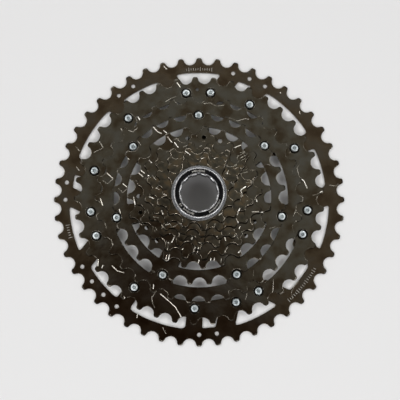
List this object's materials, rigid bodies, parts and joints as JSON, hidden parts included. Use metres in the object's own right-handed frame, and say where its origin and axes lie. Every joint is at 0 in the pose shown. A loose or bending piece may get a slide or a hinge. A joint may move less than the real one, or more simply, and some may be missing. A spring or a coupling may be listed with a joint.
{
  "type": "bicycle sprocket cassette",
  "caption": "Stepped bicycle cassette: riveted large sprockets, loose splined sprockets with spacers, and a threaded lockring with its washer on top.",
  "frame": {"origin": "on the axis, at the back face of the largest sprocket", "axes": "+Z along the axis from the wheel side to the lockring, +Y towards the top of the picture, +X to its right"},
  "size_m": [0.196, 0.196, 0.0411],
  "materials": {
    "sprocket_steel": "black nickel, glossy",
    "rivet_steel": "zinc plated",
    "lockring_alloy": "satin",
    "spacer_alloy": "black anodised"
  },
  "bodies": {
    "riveted_unit": {"sprocket_48t": "sprocket_steel", "sprocket_41t": "sprocket_steel", "sprocket_34t": "sprocket_steel", "hub_spacer": "spacer_alloy", "outer_rivet_01": "rivet_steel", "outer_rivet_02": "rivet_steel", "outer_rivet_03": "rivet_steel", "outer_rivet_04": "rivet_steel", "outer_rivet_05": "rivet_steel", "outer_rivet_06": "rivet_steel", "outer_rivet_07": "rivet_steel", "outer_rivet_08": "rivet_steel", "outer_rivet_09": "rivet_steel", "outer_rivet_10": "rivet_steel", "outer_rivet_11": "rivet_steel", "outer_rivet_12": "rivet_steel", "outer_rivet_13": "rivet_steel", "outer_rivet_14": "rivet_steel", "inner_rivet_01": "rivet_steel", "inner_rivet_02": "rivet_steel", "inner_rivet_03": "rivet_steel", "inner_rivet_04": "rivet_steel", "inner_rivet_05": "rivet_steel", "inner_rivet_06": "rivet_steel", "inner_rivet_07": "rivet_steel"},
    "loose_28t": {"sprocket_28t": "sprocket_steel", "spacer_behind_28t": "spacer_alloy"},
    "loose_23t": {"sprocket_23t": "sprocket_steel", "spacer_behind_23t": "spacer_alloy"},
    "loose_20t": {"sprocket_20t": "sprocket_steel", "spacer_behind_20t": "spacer_alloy"},
    "loose_17t": {"sprocket_17t": "sprocket_steel", "spacer_behind_17t": "spacer_alloy"},
    "loose_15t": {"sprocket_15t": "sprocket_steel", "spacer_behind_15t": "spacer_alloy"},
    "loose_13t": {"sprocket_13t": "sprocket_steel"},
    "loose_11t": {"sprocket_11t": "sprocket_steel"},
    "washer": {"lockring_washer": "lockring_alloy"},
    "lockring": {"lockring": "lockring_alloy"}
  },
  "joints": [
    {"name": "slide_28t", "type": "slide", "parent": "riveted_unit", "child": "loose_28t", "axis": [0, 0, 1], "range_m": [0, 0.012]},
    {"name": "slide_23t", "type": "slide", "parent": "loose_28t", "child": "loose_23t", "axis": [0, 0, 1], "range_m": [0, 0.012]},
    {"name": "slide_20t", "type": "slide", "parent": "loose_23t", "child": "loose_20t", "axis": [0, 0, 1], "range_m": [0, 0.012]},
    {"name": "slide_17t", "type": "slide", "parent": "loose_20t", "child": "loose_17t", "axis": [0, 0, 1], "range_m": [0, 0.012]},
    {"name": "slide_15t", "type": "slide", "parent": "loose_17t", "child": "loose_15t", "axis": [0, 0, 1], "range_m": [0, 0.012]},
    {"name": "slide_13t", "type": "slide", "parent": "loose_15t", "child": "loose_13t", "axis": [0, 0, 1], "range_m": [0, 0.012]},
    {"name": "slide_11t", "type": "slide", "parent": "loose_13t", "child": "loose_11t", "axis": [0, 0, 1], "range_m": [0, 0.012]},
    {"name": "lockring_rise", "type": "slide", "parent": "loose_11t", "child": "washer", "axis": [0, 0, 1], "range_m": [0, 0.0054]},
    {"name": "lockring_turn", "type": "hinge", "parent": "washer", "child": "lockring", "pos_m": [0, 0, 0.04], "axis": [0, 0, 1], "range_deg": [0, 1800]}
  ],
  "couplings": [
    {"joint": "lockring_rise", "follows": "lockring_turn", "m_per_rad": 0.00016844}
  ]
}
